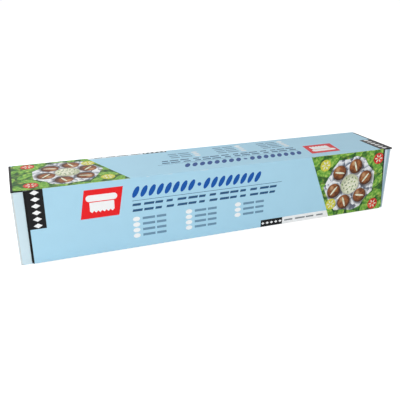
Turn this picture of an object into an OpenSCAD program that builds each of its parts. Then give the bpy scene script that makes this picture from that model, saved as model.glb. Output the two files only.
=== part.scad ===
// A long folded carton with a roll of kitchen foil in it. The lid's front flap covers the front wall
// and carries a toothed strip that the foil is torn on.
// X runs along the carton, the front faces -Y, Z is up. The origin is the middle of the base.

/* [Foil roll] */
// Width of the foil
foil_w = 450; // [380:10:600]
// Metres of foil wound on the core
foil_m = 150; // [50:10:200]
// Thickness of the foil
foil_t = 0.015; // [0.010:0.001:0.020]
// Share of the wound section that is metal and not air between the turns
wound_fill = 0.95; // [0.85:0.01:1]
// Bands of turns that show as rings on each end of the roll
ring_count = 14; // [6:1:30]
// How far a band of turns may lie behind its neighbour at the roll's ends
ring_step = 0.4; // [0.1:0.05:0.8]
// Height of the step at the foil's free edge
tail_step = 0.3; // [0.1:0.05:0.6]
// Where the free edge lies round the roll, from level at the back and up over the top
tail_angle = 125; // [95:5:160]

/* [Core] */
// Bore of the card core
core_bore = 42; // [30:1:60]
// Wall of the card core
core_wall = 3; // [1:0.5:6]
// How far the core stands out of the turns at each end
core_out = 1; // [0.5:0.5:5]
// Slack between the core and the first turn, on the radius
core_fit = 0.05; // [0.02:0.01:0.3]

/* [Carton] */
// Thickness of the fluted board
board_t = 1.5; // [0.8:0.1:2.5]
// Thickness of the paper on each side of the board
liner_t = 0.3; // [0.2:0.05:0.4]
// Radius on the outside of a fold
fold_r = 0.8; // [0.3:0.1:1.5]
// Room in front of the roll and behind it
roll_side_gap = 2.7; // [0.5:0.1:10]
// Room above the roll
roll_top_gap = 7.2; // [2:0.1:20]
// Room at each end of the core
roll_end_gap = 2; // [0.3:0.1:10]
// Gap that is left under the roll where it lies on the bottom
roll_seat_gap = 0.3; // [0.1:0.1:1]
// Width of the glued flaps inside each end
glue_flap_w = 34; // [15:1:37]
// Height of the slanted cut on a glued flap's upper corner
glue_flap_cut = 10; // [2:1:20]
// How far the glued flaps stay under the end panel's upper edge
glue_flap_drop = 1; // [0:0.5:4]

/* [Lid] */
// Clearance between the lid and the upper edges of the walls
lid_gap = 0.3; // [0.1:0.1:1]
// Width of the crease between the lid and the paper that it hinges on
crease_gap = 0.05; // [0.05:0.05:0.3]
// Height of the flap's lower edge above the base
flap_lift = 1.3; // [0.8:0.1:4]
// How far the flap stops short of the left end
flap_in_left = 11.5; // [4:0.5:25]
// How far the flap stops short of the right end at the fold
flap_in_right = 12; // [4:0.5:25]
// How far the flap stops short of the right end at its lower edge
flap_in_right_low = 5; // [2:0.5:25]
// Radius of the flap's lower corners
flap_corner_r = 2.5; // [0.5:0.5:6]

/* [Cutter] */
// Thickness of the steel strip
cutter_t = 0.4; // [0.2:0.05:0.8]
// Height of the strip from the tips of its teeth
cutter_h = 12; // [6:1:25]
// Distance from tooth to tooth
tooth_pitch = 3; // [1.5:0.5:6]
// Height of a tooth
tooth_h = 2; // [1:0.25:4]
// Gap between the tips and the surface that the carton stands on
tip_gap = 0.3; // [0.1:0.1:0.7]
// How far the strip stops short of the flap's ends
cutter_in = 9; // [3:1:30]
// Stakes that clinch the strip to the flap
stake_count = 9; // [3:1:15]
// Diameter of a stake's head
stake_d = 4; // [2:0.5:6]
// Height of a stake's head
stake_h = 0.25; // [0.1:0.05:0.5]
// Clearance between the stakes and the front wall
cutter_clear = 0.25; // [0.1:0.05:1]

/* [Print] */
// Thickness of one layer of ink
ink_t = 0.06; // [0.04:0.01:0.1]
// Width of the dark line down the cut ends of the print
edge_line_w = 2.4; // [1:0.1:4]
// Width of the dark band near the left end
band_w = 16.4; // [8:0.1:24]
// Height of the dark band from the fold
band_h = 43.5; // [20:0.5:60]
// Distance from the left end to the label's lower corner
label_x = 65; // [50:1:75]
// Distance from the fold to the label
label_down = 7.7; // [4:0.1:12]
// Width of the label
label_w = 41; // [30:1:45]
// Height of the label
label_h = 32.3; // [20:0.1:36]
// How far the label leans over its height
label_lean = 5.5; // [0:0.5:8]
// Distance from the left end to the frieze and the copy
title_x = 120.5; // [118:0.5:130]
// Distance from the fold to the frieze
title_down = 9.8; // [6:0.1:12]
// Height of the frieze
title_h = 13; // [8:0.5:14]
// Distance from leaf to leaf in the frieze
title_pitch = 9.1; // [7:0.1:12]
// Width of the picture at the fold, from the carton's end
picture_w = 120; // [110:1:130]
// How far the picture's left edge leans over the height of a face
picture_lean = 33; // [10:1:45]
// How much further from the fold the label and the copy lie on the top
top_shift = 4.8; // [0:0.1:5]

/* [Hidden] */
$fn = 48;
nothing = 0.01;

// The roll, from the metal that is wound on the core
core_od = core_bore + 2 * core_wall;
core_l = foil_w + 2 * core_out;
turns_bore = core_od + 2 * core_fit;
wound_area = foil_m * 1000 * foil_t / wound_fill;
roll_d = sqrt(4 * wound_area / PI + pow(turns_bore, 2));
wrap_w = 0.4;
wrap_lap = 0.3;
ring_turn = 67;
ring_w = (roll_d / 2 - wrap_w - turns_bore / 2) / ring_count;

// The carton, from the roll outwards
crease_r = min(fold_r, 0.8 * board_t);
inner_l = core_l + 2 * roll_end_gap;
inner_d = roll_d + 2 * roll_side_gap;
box_l = inner_l + 4 * board_t;
flap_gap = cutter_t + stake_h + cutter_clear;
box_d = inner_d + 3 * board_t + flap_gap;
wall_top = board_t + roll_seat_gap + roll_d + roll_top_gap;
lid_z = wall_top + lid_gap;
box_h = lid_z + board_t;
ink_layers = 4;
half_d = (box_d + ink_layers * ink_t) / 2;
face_y = -half_d + ink_layers * ink_t;
back_y = half_d;
wall_y = face_y + board_t + flap_gap;
roll_y = wall_y + board_t + inner_d / 2;
roll_z = board_t + roll_seat_gap + roll_d / 2;

// The flap, along X from the middle
flap_x0 = -box_l / 2 + flap_in_left;
flap_x1 = box_l / 2 - flap_in_right;
flap_x1_low = box_l / 2 - flap_in_right_low;

// The cutter, a whole number of teeth
cutter_room = flap_x1 - flap_x0 - 2 * cutter_in;
tooth_count = floor(cutter_room / tooth_pitch);
cutter_l = tooth_count * tooth_pitch;
cutter_x = (flap_x0 + flap_x1 - cutter_l) / 2;

// The print's fields, each measured from the fold or from the artwork's ends
front_h = box_h - flap_lift;
top_h = box_d - crease_r;
copy_gap = 39;
rule_down = 26;
rule_h = 0.5;
copy_down = 31;
line_pitch = 6.7;
word_pitch = 12.8;
word_w = 9.2;
word_vary = 2.3;
word_h = 2.8;
word_lean = 0.8;
list_down = 48;
list_column = 61;
list_rows = 4;
oval_w = 8;
oval_h = 5.4;
list_bar_x = 11;
list_bar_pitch = 16;
list_bar_ws = [14, 11];
frieze_spare = 27;
frieze_leaf_l = 14.3;
frieze_leaf_w = 5.8;
frieze_leaf_turn = 62;
frieze_dot_r = 2.2;
frieze_dot_every = 9;
foot_h = 9;
foot_dark_w = 29.5;
foot_pale_w = 67.5;
foot_mark_count = 5;
foot_mark_w = 4.4;
foot_mark_h = 3.4;
foot_bar_count = 4;
foot_bar_pitch = 15.4;
foot_bar_in = 3;
foot_bar_w = 11.5;
foot_bar_h = 2;
band_mark_count = 6;
band_mark_w = 9;
band_mark_h = 5.2;
sign_w = 26;
sign_down = 9.7;
sign_roll_r = 3.6;
sign_gap = 1;
sign_sheet_h = 9.7;
sign_teeth = 6;

// The picture's motifs. The plate keeps its place between the picture's slanted left edge and the
// carton's end, tomatoes are measured from the carton's end, lemons from that slanted edge, and all of
// them from the fold.
plate_off = 8.25;
plate_x = (picture_w - picture_lean / 2) / 2 + plate_off;
plate_down = 42;
sheet_r = 36.5;
sheet_wave = 2.4;
sheet_corners = 18;
sheet_turn = 130;
bun_count = 6;
bun_r = 9.6;
bun_ring_r = 24;
bun_ring_turn = 15;
bun_cut_l = 14.4;
bun_cut_w = 2.6;
bun_cut_turn = 35;
dip_r = 13.4;
fleck_count = 18;
fleck_l = 3.2;
fleck_w = 1.3;
fleck_turn = 50;
fleck_in = 2;
spiral_turn = 137.5;
leaf_ring_count = 14;
leaf_ring_r = 44;
leaf_ring_gap = 19;
leaf_l = 24;
leaf_w = 10;
leaf_turn = 50;
leaf_sway = 60;
sway_turn = 97;
fruit_r = 7.5;
heart_count = 6;
heart_r = 3.7;
heart_l = 4.4;
heart_w = 1.9;
tomato_spots = [[20, 12], [20, 74]];
lemon_spots = [[16, 13], [8, 66]];

// Helpers for drawing

// Draws a section in the Y and Z plane and runs it along X, centred
module along_x(length) {
    rotate([90, 0, 90])
        linear_extrude(length, center = true)
            children();
}

// Draws a shape in the X and Z plane, with its thickness running back from y
module facing_front(y, thickness) {
    translate([0, y + thickness, 0])
        rotate([90, 0, 0])
            linear_extrude(thickness)
                children();
}

// The square of board where two panels meet, rounded outside the fold. Its outer corner is at the origin.
module fold_block() {
    translate([crease_r, 0])
        square([board_t - crease_r, board_t]);
    translate([0, crease_r])
        square([board_t, board_t - crease_r]);
    translate([crease_r, crease_r])
        circle(crease_r);
}

// What a rounded corner leaves of a square of the radius, with the sharp corner at the origin
module corner_waste(radius) {
    difference() {
        translate([-nothing, -nothing])
            square(radius + nothing);
        translate([radius, radius])
            circle(radius);
    }
}

// A pointed leaf along X, centred, with this many straight steps to each of its two edges
module leaf(length, width, steps = 6) {
    polygon([for (side = [1, -1], i = [0:1:steps - 1])
                [-side * length / 2 * cos(i * 180 / steps), side * width / 2 * sin(i * 180 / steps)]]);
}

// A diamond round the origin
module diamond(width, height) {
    polygon([[-width / 2, 0], [0, height / 2], [width / 2, 0], [0, -height / 2]]);
}

// A bar that leans to the right as it rises, from its lower left corner
module leaning_bar(length, height, lean) {
    polygon([[0, 0], [length, 0], [length + lean, height], [lean, height]]);
}

// The carton

module tray_section() {
    translate([wall_y, 0])
        fold_block();
    translate([back_y, 0])
        mirror([1, 0])
            fold_block();
    translate([wall_y + board_t, 0])
        square([inner_d, board_t]);
    for (y = [wall_y, back_y - board_t])
        translate([y, board_t])
            square([board_t, wall_top - board_t]);
}

// A glued flap inside an end, in the Y and Z plane, from its fold
module glue_flap() {
    flap_h = wall_top - board_t - glue_flap_drop;
    polygon([[0, 0], [glue_flap_w, 0], [glue_flap_w, flap_h - glue_flap_cut],
             [glue_flap_w - glue_flap_cut / 2, flap_h], [0, flap_h]]);
}

// One end of the tray: an outer panel folded up from the bottom, glued over two flaps from the walls
module tray_end() {
    outer_x = -box_l / 2;
    inner_x = outer_x + board_t;
    panel_d = back_y - wall_y - 2 * crease_r;
    translate([outer_x, wall_y + crease_r, board_t])
        cube([board_t, panel_d, wall_top - board_t]);
    translate([outer_x, back_y - crease_r, 0])
        rotate([90, 0, 0])
            linear_extrude(panel_d)
                fold_block();
    translate([inner_x, wall_y + board_t, 0])
        cube([board_t, inner_d, board_t]);
    translate([inner_x + board_t / 2, wall_y + board_t, board_t])
        along_x(board_t)
            glue_flap();
    translate([inner_x + board_t / 2, back_y - board_t, board_t])
        along_x(board_t)
            mirror([1, 0])
                glue_flap();
    translate([inner_x, wall_y, board_t])
        linear_extrude(wall_top - board_t)
            fold_block();
    translate([inner_x, back_y, board_t])
        linear_extrude(wall_top - board_t)
            mirror([0, 1])
                fold_block();
}

// The back wall's outer paper, which runs on up to the lid's crease and is the hinge
module hinge_paper() {
    translate([back_y - liner_t, wall_top - board_t])
        square([liner_t, box_h - wall_top + board_t]);
}

module tray() {
    color([0.76, 0.88, 0.94]) {
        along_x(inner_l)
            tray_section();
        along_x(box_l - 2 * crease_r)
            hinge_paper();
        for (end = [0, 1])
            mirror([end, 0, 0])
                tray_end();
    }
}

module flap_outline() {
    difference() {
        polygon([[flap_x0, lid_z], [flap_x0, flap_lift], [flap_x1_low, flap_lift], [flap_x1, lid_z]]);
        translate([flap_x0, flap_lift])
            corner_waste(flap_corner_r);
        translate([flap_x1_low, flap_lift])
            mirror([1, 0])
                corner_waste(flap_corner_r);
    }
}

module lid() {
    color([0.66, 0.84, 0.93]) {
        translate([-box_l / 2, face_y + board_t, lid_z])
            cube([box_l, box_d - board_t - liner_t - crease_gap, board_t]);
        for (x = [[-box_l / 2, flap_x0], [flap_x1, box_l / 2]])
            translate([x[0], face_y + crease_r, lid_z])
                cube([x[1] - x[0], board_t - crease_r, board_t]);
        translate([(flap_x0 + flap_x1) / 2, face_y, box_h])
            along_x(flap_x1 - flap_x0)
                mirror([0, 1])
                    fold_block();
        facing_front(face_y, board_t)
            flap_outline();
    }
}

// Toothed strip, held to the inner face of the flap by clinched stakes
module cutter_strip() {
    teeth = [for (i = [0:1:tooth_count - 1])
                for (corner = [[0, tooth_h], [0.5, 0]])
                    [(i + corner[0]) * tooth_pitch, corner[1]]];
    outline = concat([[0, cutter_h]], teeth, [[cutter_l, tooth_h], [cutter_l, cutter_h]]);
    stake_z = tip_gap + (cutter_h + tooth_h) / 2;
    stake_pitch = cutter_l / stake_count;
    color([0.72, 0.73, 0.75]) {
        translate([cutter_x, 0, tip_gap])
            facing_front(face_y + board_t, cutter_t)
                polygon(outline);
        for (i = [0:1:stake_count - 1])
            translate([cutter_x + (i + 0.5) * stake_pitch, face_y + board_t + cutter_t, stake_z])
                rotate([-90, 0, 0])
                    cylinder(d = stake_d, h = stake_h);
    }
}

// How far band i of the turns lies in from the end of the roll
function ring_in(i) = ring_step * abs(sin(i * ring_turn));

// The section of the last turns. Half of it is round the roll's axis, and the other half round an axis
// that lies half the step off it, so that the two meet smoothly on one side and leave the foil's free
// edge on the other.
module last_turns() {
    difference() {
        for (side = [0, 1])
            intersection() {
                translate([side * tail_step / 2, 0])
                    circle(d = roll_d + side * tail_step, $fn = 96);
                translate([-roll_d, -side * roll_d])
                    square([2 * roll_d, roll_d]);
            }
        circle(d = roll_d - 2 * (wrap_w + wrap_lap), $fn = 96);
    }
}

// The wound turns as one solid, with its ends stepped where bands of turns crept sideways
module foil_roll() {
    near_end = [for (i = [0:1:ring_count - 1])
                   for (side = [0, 1])
                       [turns_bore / 2 + (i + side) * ring_w, ring_in(i)]];
    far_end = [for (i = [len(near_end) - 1:-1:0]) [near_end[i][0], foil_w - near_end[i][1]]];
    color([0.80, 0.81, 0.83])
        translate([0, roll_y, roll_z]) {
            rotate([0, 90, 0])
                translate([0, 0, -foil_w / 2])
                    rotate_extrude($fn = 96)
                        polygon(concat(near_end, far_end));
            along_x(foil_w - 2 * ring_in(ring_count - 1))
                rotate(tail_angle)
                    last_turns();
        }
}

module core() {
    color([0.70, 0.58, 0.43])
        translate([0, roll_y, roll_z])
            rotate([0, 90, 0])
                difference() {
                    cylinder(d = core_od, h = core_l, center = true, $fn = 96);
                    cylinder(d = core_bore, h = core_l + 2, center = true, $fn = 96);
                }
}

// The print. Both faces carry the same artwork, which is turned half round on the top. A drawing starts
// at the left end of the fold and falls away from it along -Y. The face that is being printed gives its
// height in $face_h, the artwork's ends in $start_x, $end_x and $end_low_x, the width of the dark line
// at the lower right corner in $line_low_w, and in $shift how much further down its label and copy lie.

module on_flap(layer) {
    translate([-box_l / 2, face_y - (layer - 1) * ink_t, box_h])
        rotate([90, 0, 0])
            linear_extrude(ink_t)
                children();
}

module on_top(layer) {
    translate([box_l / 2, face_y, box_h + (layer - 1) * ink_t])
        rotate([0, 0, 180])
            linear_extrude(ink_t)
                children();
}

// Prints its children on the flap and on the top panel. Layer 1 lies on the board, and each next layer
// on the one before it.
module on_both(layer) {
    let ($face_h = front_h, $start_x = flap_in_left, $end_x = box_l - flap_in_right,
         $end_low_x = box_l - flap_in_right_low, $line_low_w = 0, $shift = 0)
        on_flap(layer)
            children();
    let ($face_h = top_h, $start_x = 0, $end_x = box_l, $end_low_x = box_l, $line_low_w = edge_line_w,
         $shift = top_shift)
        on_top(layer)
            children();
}

// The picture's left edge at a distance from the fold
function picture_left(down) = box_l - picture_w + picture_lean * down / $face_h;

// Where the copy and its rule end, short of the picture
copy_end = box_l - picture_w - copy_gap;

// The dark lines where the artwork is cut off at both ends
module edge_lines() {
    translate([$start_x, -$face_h + flap_corner_r])
        square([edge_line_w, $face_h - flap_corner_r - crease_r]);
    if ($line_low_w > 0)
        translate([$end_x - edge_line_w, -$face_h])
            square([edge_line_w, $face_h - crease_r]);
    else
        polygon([[$end_x - edge_line_w, -crease_r], [$end_x, -crease_r], [$end_low_x, -$face_h + flap_corner_r]]);
}

module picture_field() {
    polygon([[picture_left(crease_r), -crease_r], [$end_x - edge_line_w, -crease_r],
             [$end_low_x - $line_low_w, -$face_h + flap_corner_r],
             [$end_low_x - $line_low_w - flap_corner_r, -$face_h],
             [picture_left($face_h), -$face_h]]);
}

// The dark band near the left end, with a column of plain diamonds
module band() {
    translate([$start_x + edge_line_w, -band_h])
        square([band_w, band_h - crease_r]);
}

module band_marks() {
    for (i = [0:1:band_mark_count - 1])
        translate([$start_x + edge_line_w + band_w / 2, -(i + 0.5) * band_h / band_mark_count])
            diamond(band_mark_w, band_mark_h);
}

module label() {
    translate([label_x, -label_down - $shift - label_h])
        leaning_bar(label_w, label_h, label_lean);
}

// A roll of foil with its sheet drawn out and torn, as a plain sign for what the carton holds
module label_sign() {
    tear_w = sign_w / sign_teeth;
    translate([label_x + (label_w - sign_w + label_lean) / 2, -label_down - $shift - sign_down]) {
        for (x = [0, sign_w])
            translate([x, 0])
                circle(sign_roll_r);
        translate([0, -sign_roll_r])
            square([sign_w, 2 * sign_roll_r]);
        translate([0, -sign_roll_r - sign_gap - sign_sheet_h]) {
            square([sign_w, sign_sheet_h]);
            for (i = [0:1:sign_teeth - 1])
                translate([i * tear_w, 0])
                    polygon([[0, 0], [tear_w, 0], [tear_w / 2, -tear_w / 2]]);
        }
    }
}

// A row of leaves, with a dot in place of some
module frieze() {
    leaf_count = floor((copy_end - frieze_spare - title_x) / title_pitch);
    for (i = [1:1:leaf_count])
        translate([title_x + (i - 0.5) * title_pitch, -title_down - $shift - title_h / 2])
            if (i % frieze_dot_every == 0)
                circle(frieze_dot_r);
            else
                rotate(frieze_leaf_turn)
                    leaf(frieze_leaf_l, frieze_leaf_w);
}

// Short bars in place of words
module copy_bars() {
    translate([title_x, -rule_down - $shift - rule_h])
        square([copy_end - title_x, rule_h]);
    word_count = floor((copy_end - title_x) / word_pitch);
    for (line = [0, 1], i = [0:1:word_count - 1])
        translate([title_x + i * word_pitch, -copy_down - $shift - line * line_pitch - word_h / 2])
            leaning_bar(word_w + word_vary * sin((i + line / 2) * sway_turn), word_h, word_lean);
}

module each_list_place() {
    columns = round((copy_end - title_x) / list_column);
    for (column = [0:1:columns - 1], row = [0:1:list_rows - 1])
        if (column < columns - 1 || row < list_rows - 1)
            translate([title_x + column * list_column, -list_down - $shift - row * line_pitch])
                children();
}

module list_bars() {
    each_list_place()
        for (word = [0:1:len(list_bar_ws) - 1])
            translate([list_bar_x + word * list_bar_pitch, -word_h / 2])
                square([list_bar_ws[word], word_h]);
}

module list_ovals() {
    each_list_place()
        translate([oval_w / 2, 0])
            leaf(oval_w, oval_h);
}

// The pale strip at the foot of a face, cut off by the picture, and the dark field before it. They are
// lower on the top, where the artwork lies further from the fold.
function foot_height() = foot_h - $shift;

module foot_pale() {
    left = picture_left($face_h) - foot_pale_w;
    upper = $face_h - foot_height();
    polygon([[left, -$face_h], [picture_left($face_h), -$face_h], [picture_left(upper), -upper], [left, -upper]]);
}

module foot_dark() {
    translate([picture_left($face_h) - foot_pale_w - foot_dark_w, -$face_h])
        square([foot_dark_w, foot_height()]);
}

module foot_bars() {
    for (i = [0:1:foot_bar_count - 1])
        translate([picture_left($face_h) - foot_pale_w + foot_bar_in + i * foot_bar_pitch,
                   -$face_h + (foot_height() - foot_bar_h) / 2])
            square([foot_bar_w + word_vary * sin(i * sway_turn), foot_bar_h]);
}

module foot_marks() {
    mark_pitch = foot_dark_w / foot_mark_count;
    for (i = [0:1:foot_mark_count - 1])
        translate([picture_left($face_h) - foot_pale_w - foot_dark_w + (i + 0.5) * mark_pitch,
                   -$face_h + foot_height() / 2])
            diamond(foot_mark_w, foot_mark_h);
}

// The picture: buns round a bowl of dip on a crumpled sheet of foil, among leaves and fruit

// Keeps what its children draw inside the picture
module in_picture() {
    intersection() {
        picture_field();
        children();
    }
}

module on_plate() {
    translate([box_l - plate_x, -plate_down])
        children();
}

module foil_sheet() {
    on_plate()
        polygon([for (i = [0:1:sheet_corners - 1])
                    let (turn = i * 360 / sheet_corners, r = sheet_r + sheet_wave * sin(i * sheet_turn))
                        [r * cos(turn), r * sin(turn)]]);
}

module at_tomatoes() {
    for (spot = tomato_spots)
        translate([box_l - spot[0], -spot[1]])
            children();
}

module at_lemons() {
    for (spot = lemon_spots)
        translate([picture_left(spot[1]) + spot[0], -spot[1]])
            children();
}

module tomatoes() {
    at_tomatoes()
        circle(fruit_r);
}

module lemons() {
    at_lemons()
        circle(fruit_r);
}

// The pips and flesh that show in a cut fruit
module fruit_heart() {
    for (i = [0:1:heart_count - 1])
        rotate(i * 360 / heart_count)
            translate([heart_r, 0])
                leaf(heart_l, heart_w, 3);
}

module leaves() {
    on_plate()
        for (ring = [0, 1], i = [0:1:leaf_ring_count - 1])
            rotate((i + ring / 2) * 360 / leaf_ring_count)
                translate([leaf_ring_r + ring * leaf_ring_gap, 0])
                    rotate(leaf_turn + leaf_sway * sin(i * sway_turn))
                        leaf(leaf_l, leaf_w);
}

module at_buns() {
    on_plate()
        for (i = [0:1:bun_count - 1])
            rotate(bun_ring_turn + i * 360 / bun_count)
                translate([bun_ring_r, 0])
                    children();
}

module dip() {
    on_plate()
        circle(dip_r);
}

module flecks() {
    on_plate()
        for (i = [1:1:fleck_count])
            rotate(i * spiral_turn)
                translate([(dip_r - fleck_in) * sqrt(i / fleck_count), 0])
                    rotate(i * fleck_turn)
                        leaf(fleck_l, fleck_w, 3);
}

module ink_black() {
    color([0.16, 0.16, 0.17])
        on_both(1) {
            edge_lines();
            band();
            foot_dark();
        }
}

module ink_red() {
    color([0.88, 0.13, 0.14]) {
        on_both(1)
            label();
        on_both(2)
            in_picture()
                tomatoes();
    }
}

module ink_blue() {
    color([0.05, 0.33, 0.66])
        on_both(1) {
            frieze();
            copy_bars();
        }
}

module ink_grey() {
    color([0.42, 0.55, 0.66]) {
        on_both(1)
            list_bars();
        on_both(2)
            foot_bars();
    }
}

module ink_white() {
    color([0.97, 0.98, 0.98]) {
        on_both(1) {
            list_ovals();
            foot_pale();
        }
        on_both(2) {
            band_marks();
            label_sign();
            foot_marks();
        }
    }
}

module ink_leaf() {
    color([0.17, 0.36, 0.14]) {
        on_both(1)
            picture_field();
        on_both(4)
            flecks();
    }
}

module ink_lime() {
    color([0.42, 0.66, 0.24])
        on_both(2)
            difference() {
                in_picture()
                    leaves();
                foil_sheet();
                tomatoes();
                lemons();
            }
}

module ink_silver() {
    color([0.83, 0.85, 0.87])
        on_both(2)
            difference() {
                in_picture()
                    foil_sheet();
                tomatoes();
                lemons();
            }
}

module ink_brown() {
    color([0.50, 0.28, 0.14])
        on_both(3)
            at_buns()
                circle(bun_r);
}

module ink_cream() {
    color([0.92, 0.93, 0.80]) {
        on_both(3) {
            dip();
            in_picture() {
                at_tomatoes()
                    fruit_heart();
                at_lemons()
                    fruit_heart();
            }
        }
        on_both(4)
            at_buns()
                rotate(bun_cut_turn)
                    leaf(bun_cut_l, bun_cut_w);
    }
}

module ink_lemon() {
    color([0.82, 0.80, 0.22])
        on_both(2)
            in_picture()
                lemons();
}

tray();
lid();
cutter_strip();
foil_roll();
core();
ink_black();
ink_red();
ink_blue();
ink_grey();
ink_white();
ink_leaf();
ink_lime();
ink_silver();
ink_brown();
ink_cream();
ink_lemon();
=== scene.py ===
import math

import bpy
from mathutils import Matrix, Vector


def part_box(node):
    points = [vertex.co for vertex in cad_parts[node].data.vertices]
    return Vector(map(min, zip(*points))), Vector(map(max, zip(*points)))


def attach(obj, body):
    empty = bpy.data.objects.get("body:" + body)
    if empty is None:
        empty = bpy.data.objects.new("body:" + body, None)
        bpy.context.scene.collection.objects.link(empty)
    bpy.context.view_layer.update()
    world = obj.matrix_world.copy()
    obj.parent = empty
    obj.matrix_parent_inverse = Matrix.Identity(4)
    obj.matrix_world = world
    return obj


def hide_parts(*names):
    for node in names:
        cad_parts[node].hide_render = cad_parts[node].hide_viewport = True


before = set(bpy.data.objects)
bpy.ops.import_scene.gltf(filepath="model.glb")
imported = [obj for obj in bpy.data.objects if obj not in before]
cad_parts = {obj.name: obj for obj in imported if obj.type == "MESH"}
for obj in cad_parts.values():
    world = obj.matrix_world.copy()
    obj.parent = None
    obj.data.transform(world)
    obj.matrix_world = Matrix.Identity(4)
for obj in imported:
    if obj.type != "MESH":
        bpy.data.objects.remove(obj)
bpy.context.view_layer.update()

# %% [markdown]
# # A carton of kitchen foil
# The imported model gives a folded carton, a lid with its toothed strip, a roll of foil on a card
# core, and the print as thin layers of ink. This lesson gives each of them its finish, winds a
# better roll, shows the wavy middle of the board at its cut edges, lays paper over the hinge's
# crease, and sets the light and the camera.
# Everything is in metres: X runs along the carton, the front faces -Y and Z is up.

MM = 0.001
tray_low, tray_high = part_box("tray")
lid_low, lid_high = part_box("lid")
roll_low, roll_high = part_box("foil_roll")
core_low, core_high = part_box("core")
strip_low, strip_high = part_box("cutter_strip")

BOARD = 1.5 * MM            # thickness of the board
LINER = 0.3 * MM            # thickness of the paper on each side of it
END_X = tray_high.x         # half the carton's length
FACE_Y = lid_low.y          # outer face of the flap
BACK_Y = tray_high.y        # outer face of the back wall
WALL_Y = tray_low.y         # outer face of the front wall
TOP_Z = lid_high.z          # outer face of the top
FLUTES_Z = TOP_Z - BOARD - 0.3 * MM     # upper edge of the walls, 0.3 mm under the lid
FLAP_Z = lid_low.z          # lower edge of the flap
FLAP_LEFT = -END_X + 11.5 * MM          # the flap's left end
FLAP_RIGHT = END_X - 12 * MM            # its right end, at the fold
LINE = 2.4 * MM             # width of the dark line down the cut ends of the print
BAND = LINE + 16.4 * MM     # how far the dark band reaches in from such an end
SKIN = 0.25 * MM            # how deep the colour of a coated face goes

# %% [markdown]
# ## Small tools
# A finish is a node material. Its nodes read the Object coordinates, so a pattern keeps its real
# size and stays on the piece when the piece moves. The class below keeps each recipe short: `add`
# makes a node, and the other calls are the few sums that the recipes are written in.

# %% A class that writes node materials
def tone(red, green, blue):
    """A colour as a painter's program shows it, 0 to 255, for a shader."""
    def linear(v):
        v /= 255
        return v / 12.92 if v <= 0.04045 else ((v + 0.055) / 1.055) ** 2.4
    return (linear(red), linear(green), linear(blue), 1.0)


class Finish:
    """A node material, and the calls that add to it. A mask is a value that is 1 or 0."""

    def __init__(self, name, colour, roughness, **constants):
        self.material = bpy.data.materials.new(name)
        self.material.use_nodes = True
        self.tree = self.material.node_tree
        self.shader = self.tree.nodes["Principled BSDF"]
        self.feed(self.shader, "Base Color", colour)
        self.feed(self.shader, "Roughness", roughness)
        for socket, value in constants.items():
            self.feed(self.shader, socket.replace("_", " "), value)
        self.place = self.add("TexCoord").outputs["Object"]
        parts = self.add("SeparateXYZ", {0: self.place}).outputs
        self.x, self.y, self.z = parts[0], parts[1], parts[2]

    def feed(self, node, key, value):
        """Links a socket to a node's input, or sets the input to a value."""
        if isinstance(value, bpy.types.NodeSocket):
            self.tree.links.new(value, node.inputs[key])
        else:
            node.inputs[key].default_value = value

    def add(self, kind, inputs=None, **settings):
        node = self.tree.nodes.new("ShaderNode" + kind)
        for key, value in settings.items():
            setattr(node, key, value)
        for key, value in (inputs or {}).items():
            self.feed(node, key, value)
        return node

    def math(self, operation, *values):
        return self.add("Math", dict(enumerate(values)), operation=operation).outputs[0]

    def rise(self, value, start, end, low=0.0, high=1.0):
        """From low to high while value goes from start to end, smoothly."""
        return self.add("MapRange", {"Value": value, "From Min": start, "From Max": end,
                                     "To Min": low, "To Max": high},
                        interpolation_type="SMOOTHSTEP").outputs[0]

    def below(self, value, limit):
        """A mask that is 1 where the value is under the limit."""
        return self.math("LESS_THAN", value, limit)

    def above(self, value, limit):
        return self.math("GREATER_THAN", value, limit)

    def within(self, value, low, high):
        return self.both(self.above(value, low), self.below(value, high))

    def apart_from(self, mask):
        """1 where the mask is 0, and 0 where it is 1."""
        return self.math("SUBTRACT", 1.0, mask)

    def both(self, first, *others):
        """1 where every one of the masks is 1."""
        for other in others:
            first = self.math("MULTIPLY", first, other)
        return first

    def either(self, first, *others):
        """1 where at least one of the masks is 1."""
        for other in others:
            first = self.math("MAXIMUM", first, other)
        return first

    def reach(self, across, upward):
        """How far a point lies from a middle, by its place across and above it."""
        return self.math("SQRT", self.math("ADD", self.math("MULTIPLY", across, across),
                                           self.math("MULTIPLY", upward, upward)))

    def stretched(self, scale):
        return self.add("Mapping", {"Vector": self.place, "Scale": scale}).outputs[0]

    def noise(self, size, stretch=(1, 1, 1), detail=3.0, roughness=0.5):
        """Clouds whose lumps are about `size` metres, from 0 to 1."""
        return self.add("TexNoise", {"Vector": self.stretched(stretch), "Scale": 1 / size,
                                     "Detail": detail, "Roughness": roughness}).outputs["Fac"]

    def cells(self, size, stretch=(1, 1, 1)):
        """How far a point lies from the middle of its cell. Cells are about `size` metres wide."""
        return self.add("TexVoronoi", {"Vector": self.stretched(stretch),
                                       "Scale": 1 / size}).outputs["Distance"]

    def mix(self, factor, first, second):
        """The first colour where factor is 0, and the second where it is 1."""
        return self.add("Mix", {0: factor, 6: first, 7: second}, data_type="RGBA").outputs[2]

    def ramp(self, value, *stops):
        """A run of colours. Each stop is a value and the colour that it gives."""
        node = self.add("ValToRGB", {0: value})
        elements = node.color_ramp.elements
        while len(elements) < len(stops):
            elements.new(0.5)
        for element, (position, colour) in zip(elements, stops):
            element.position, element.color = position, colour
        return node.outputs[0]

    def bump(self, height, depth, strength):
        """Bumps as high as `depth` metres where height goes from 0 to 1."""
        node = self.add("Bump", {"Height": height, "Distance": depth, "Strength": strength})
        last = self.shader.inputs["Normal"].links
        if last:
            self.feed(node, "Normal", last[0].from_socket)
        self.feed(self.shader, "Normal", node.outputs[0])

    def paint(self, colour):
        self.feed(self.shader, "Base Color", colour)

    def gloss(self, roughness):
        self.feed(self.shader, "Roughness", roughness)


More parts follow.
